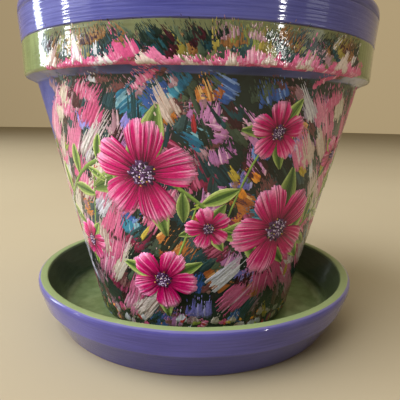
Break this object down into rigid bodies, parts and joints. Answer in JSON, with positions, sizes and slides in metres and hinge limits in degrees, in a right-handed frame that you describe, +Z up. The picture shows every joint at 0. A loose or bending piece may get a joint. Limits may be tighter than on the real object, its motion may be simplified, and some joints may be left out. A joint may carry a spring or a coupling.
{
  "type": "flower pot with saucer",
  "caption": "Painted and varnished clay flower pot with a wide collar rim and a drain hole, standing in its own round saucer.",
  "frame": {"origin": "centre of the saucer's underside, on the surface that the saucer stands on", "axes": "+Z up along the axis of the pot and the saucer, -Y towards the painted front"},
  "size_m": [0.208, 0.208, 0.1846],
  "materials": {
    "pot_paint": "gloss varnish over brushed acrylic paint on clay",
    "saucer_paint": "gloss varnish over brushed acrylic paint on clay"
  },
  "bodies": {
    "root": {"pot": "pot_paint", "saucer": "saucer_paint"}
  },
  "joints": []
}
